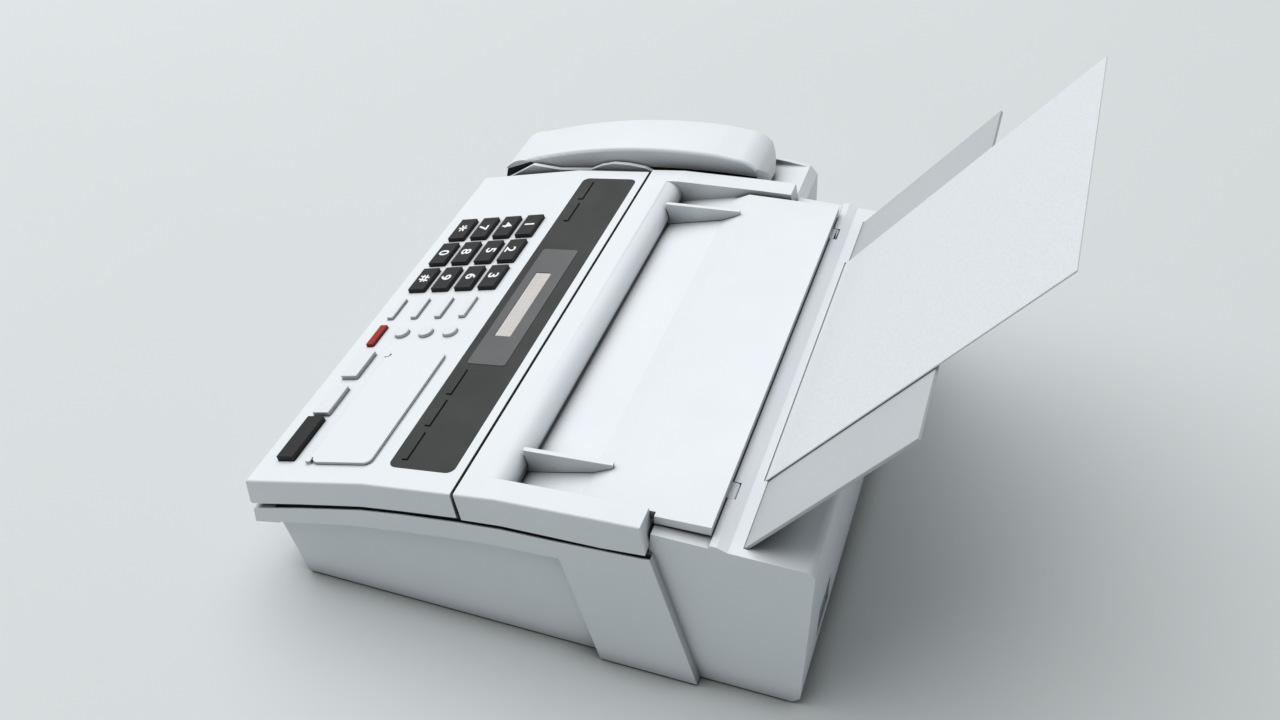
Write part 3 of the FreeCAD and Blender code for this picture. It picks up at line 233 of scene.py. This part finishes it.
def display_window(name):
    """Clear face over a pale, slightly warm display, with a faint grid of character cells."""
    m = Nodes(name)
    cells = m.bricks(4.2 * MM, 5.2 * MM, 0.25 * MM,
                     ((0.34, 0.315, 0.295), (0.355, 0.325, 0.305), (0.39, 0.355, 0.335)))
    cells.offset = 0.0
    drift = m.mix(m.spread(m.noise(40, 3), 0, 0.5), cells.outputs["Color"], (0.40, 0.365, 0.345))
    m.link(drift, m.shader.inputs["Base Color"])
    m.link(m.spread(m.noise(60, 3), 0.12, 0.22), m.shader.inputs["Roughness"])
    m.shader.inputs["Coat Weight"].default_value = 0.6
    m.shader.inputs["Coat Roughness"].default_value = 0.08
    m.bump(m.noise(120, 2), 0.05, 0.02 * MM)
    return m.material


def paper(name):
    """Uncoated office paper: fibre mottle and a fine tooth."""
    m = Nodes(name)
    mottle = m.mix(m.spread(m.noise(700, 4), 0, 1), (0.64, 0.67, 0.695), (0.575, 0.60, 0.625))
    fibres = m.mix(m.spread(m.noise(1600, 5, (1, 0.25, 1)), 0, 0.5, 0.5, 0.75), mottle,
                   (0.70, 0.725, 0.745))
    m.link(fibres, m.shader.inputs["Base Color"])
    m.link(m.spread(m.noise(400, 3), 0.82, 0.95), m.shader.inputs["Roughness"])
    m.bump(m.noise(2200, 4), 0.5, 0.03 * MM)
    return m.material


def rubber(name, color):
    """Matte rubber with a fine tooth and pale dust."""
    m = Nodes(name)
    pale = tuple(min(1.0, c * 1.5 + 0.02) for c in color)
    dusty = m.mix(m.spread(m.noise(120, 4), 0, 0.8), color, pale)
    m.link(dusty, m.shader.inputs["Base Color"])
    m.link(m.spread(m.noise(200, 3), 0.7, 0.9), m.shader.inputs["Roughness"])
    m.bump(m.noise(1800, 3), 0.4, 0.04 * MM)
    return m.material


def metal(name, color, stretch):
    """Metal with dull streaks, stretched along the way it was rolled."""
    m = Nodes(name)
    dull = scaled(color, 0.75)
    streaks = m.noise(260, 4, stretch)
    m.link(m.mix(m.spread(streaks, 0, 1), color, dull), m.shader.inputs["Base Color"])
    m.link(m.spread(m.noise(500, 3, (0.06, 1, 1)), 0.28, 0.46), m.shader.inputs["Roughness"])
    m.shader.inputs["Metallic"].default_value = 1.0
    m.bump(streaks, 0.15, 0.02 * MM)
    return m.material


def circuit_board(name):
    """Solder mask over copper tracks."""
    m = Nodes(name)
    tracks = m.bricks(9 * MM, 3 * MM, 0.4 * MM,
                      ((0.015, 0.12, 0.045), (0.012, 0.10, 0.04), (0.03, 0.19, 0.07)))
    m.link(tracks.outputs["Color"], m.shader.inputs["Base Color"])
    m.link(m.spread(m.noise(300, 3), 0.25, 0.4), m.shader.inputs["Roughness"])
    m.bump(m.noise(900, 2), 0.2, 0.02 * MM)
    return m.material


def printed_ink(name, color):
    """Screen-printed ink, a little uneven in colour and sheen."""
    m = Nodes(name)
    faded = scaled(color, 0.86)
    m.link(m.mix(m.spread(m.noise(900, 4), 0, 1), color, faded), m.shader.inputs["Base Color"])
    m.link(m.spread(m.noise(300, 3), 0.45, 0.6), m.shader.inputs["Roughness"])
    m.bump(m.noise(3000, 2), 0.2, 0.01 * MM)
    return m.material


def floor_material():
    """Pale matte paint, with painted shadow from ambient occlusion where something stands on it."""
    m = Nodes("floor_paint")
    dusty = m.mix(m.spread(m.noise(3, 3), 0, 1), FLOOR_COLOR, scaled(FLOOR_COLOR, 1.015))
    # Painted shadow: the floor darkens by ambient occlusion close to the machine standing on it.
    m.link(m.mix(m.painted_crevice_shade(PAINTED_SHADE_REACH), dusty, scaled(FLOOR_COLOR, PAINTED_SHADE_SHARE)),
           m.shader.inputs["Base Color"])
    m.link(m.spread(m.noise(60, 3), 0.85, 0.95), m.shader.inputs["Roughness"])
    m.shader.inputs["Specular IOR Level"].default_value = 0.1
    return m.material


def make_finishes():
    """One material for each of the record's material slots."""
    finishes = {slot: moulded_plastic(f"mat_{slot}", **look) for slot, look in PLASTICS.items()}
    finishes["display_window"] = display_window("mat_display_window")
    finishes["paper"] = paper("mat_paper")
    finishes["black_rubber"] = rubber("mat_black_rubber", (0.02, 0.02, 0.02))
    finishes["white_rubber"] = rubber("mat_white_rubber", (0.62, 0.62, 0.60))
    finishes["internal_steel"] = metal("mat_internal_steel", (0.56, 0.57, 0.58), (0.08, 1, 1))
    finishes["aluminium_heatsink"] = metal("mat_aluminium_heatsink", (0.72, 0.73, 0.74), (1, 1, 1))
    finishes["circuit_board"] = circuit_board("mat_circuit_board")
    return finishes


def soften(node, width):
    """Joins the mesh's split vertices and rounds its sharp edges."""
    weld = node.modifiers.new("weld", "WELD")
    weld.merge_threshold = MERGE
    bevel = node.modifiers.new("bevel", "BEVEL")
    bevel.width = width
    bevel.segments = 2
    bevel.limit_method = "ANGLE"
    bevel.angle_limit = BEVEL_ANGLE
    bevel.harden_normals = True
    bevel.miter_outer = "MITER_ARC"


def paint_cad_nodes():
    """Gives every CAD node the finish of its slot and softens its edges."""
    finishes = make_finishes()
    for part in frame["record"]["subparts"]:
        node = frame["nodes"][part["node"]]
        slot = part["material_slot"]
        node.data.materials.clear()
        node.data.materials.append(finishes[slot])
        soften(node, KEY_BEVEL if "key" in part["node"] else MAIN_BEVEL)


# ---------------------------------------------------------------- printing on the keys

def top_normal(node):
    """Normal of a node's largest upward flat."""
    areas = {}
    for face in frame["nodes"][node].data.polygons:
        if face.normal.z > 0.5:
            normal = tuple(round(c, 3) for c in face.normal)
            areas[normal] = areas.get(normal, 0) + face.area
    return Vector(max(areas, key=areas.get)).normalized()


def top_matrix(node):
    """Matrix of the middle of a key's top face: X to the right, Y up the slope."""
    normal = top_normal(node)
    height = max(v.co.dot(normal) for v in frame["nodes"][node].data.vertices)
    low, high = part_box(node)
    middle = (low + high) / 2
    middle += normal * (height - middle.dot(normal))
    right = Vector((1, 0, 0))
    up = normal.cross(right).normalized()
    rotation = Matrix((right, up, normal)).transposed().to_4x4()
    return Matrix.Translation(middle) @ rotation


def text_mesh(text, height):
    """Flat raised mesh of a text, centred and widened."""
    curve = bpy.data.curves.new("text", "FONT")
    curve.body = text
    curve.size = height
    curve.align_x = "CENTER"
    curve.align_y = "CENTER"
    curve.extrude = INK_THICKNESS
    curve.offset = INK_SPREAD
    label = bpy.data.objects.new("label", curve)
    bpy.context.scene.collection.objects.link(label)
    bpy.context.view_layer.update()
    evaluated = label.evaluated_get(bpy.context.evaluated_depsgraph_get())
    mesh = bpy.data.meshes.new_from_object(evaluated)
    bpy.data.objects.remove(label)
    centre = sum((v.co for v in mesh.vertices), Vector()) / len(mesh.vertices)
    widened = Matrix.Diagonal((INK_WIDEN, 1.0, 1.0, 1.0))
    mesh.transform(widened @ Matrix.Translation(Vector((-centre.x, -centre.y, 0))))
    return mesh


def print_text(key, text, height, ink):
    """Prints raised ink in the middle of a key's top."""
    mesh = text_mesh(text, height)
    mesh.materials.clear()
    mesh.materials.append(ink)
    printed = bpy.data.objects.new(f"print_{key}", mesh)
    bpy.context.scene.collection.objects.link(printed)
    printed.matrix_world = top_matrix(key)
    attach(printed, key)


def print_keys():
    """White digits, star and hash on the keypad."""
    ink = printed_ink("ink_white", INK_WHITE)
    for digit in "0123456789":
        print_text(f"key_{digit}", digit, DIGIT_HEIGHT, ink)
    print_text("key_star", "*", STAR_HEIGHT, ink)
    print_text("key_hash", "#", DIGIT_HEIGHT, ink)


# ---------------------------------------------------------------- floor, camera and light

def make_floor():
    """Pale plain floor under the machine."""
    corners = [(x * FLOOR_HALF, y * FLOOR_HALF, 0) for x, y in ((-1, -1), (1, -1), (1, 1), (-1, 1))]
    mesh = bpy.data.meshes.new("floor")
    mesh.from_pydata(corners, [], [(0, 1, 2, 3)])
    mesh.materials.append(floor_material())
    floor = bpy.data.objects.new("floor", mesh)
    bpy.context.scene.collection.objects.link(floor)


def make_camera():
    """Camera above and to the right of the machine, looking down at it."""
    data = bpy.data.cameras.new("camera")
    data.sensor_width = SENSOR_WIDTH
    data.lens = LENS
    camera = bpy.data.objects.new("camera", data)
    bpy.context.scene.collection.objects.link(camera)
    flat = math.cos(CAMERA_PITCH)
    forward = Vector((math.sin(CAMERA_HEADING) * flat, math.cos(CAMERA_HEADING) * flat,
                      -math.sin(CAMERA_PITCH)))
    camera.location = CAMERA_SPOT
    camera.rotation_euler = forward.to_track_quat("-Z", "Y").to_euler()
    bpy.context.scene.camera = camera


def make_light():
    """One large soft light from the front left and above, in an even pale surround."""
    world = bpy.data.worlds.new("studio")
    world.use_nodes = True
    sky = world.node_tree.nodes["Background"]
    sky.inputs["Color"].default_value = (*SKY_COLOR, 1.0)
    sky.inputs["Strength"].default_value = SKY_STRENGTH
    bpy.context.scene.world = world
    data = bpy.data.lights.new("key_light", "AREA")
    data.shape = "RECTANGLE"
    data.size, data.size_y = KEY_LIGHT_SIZE
    data.energy = KEY_LIGHT_POWER
    light = bpy.data.objects.new("key_light", data)
    bpy.context.scene.collection.objects.link(light)
    light.location = KEY_LIGHT_SPOT
    aim = Vector(KEY_LIGHT_TARGET) - Vector(KEY_LIGHT_SPOT)
    light.rotation_euler = aim.to_track_quat("-Z", "Y").to_euler()


make_camera()
paint_cad_nodes()
print_keys()
make_floor()
make_light()
bpy.context.scene.view_settings.view_transform = "Standard"
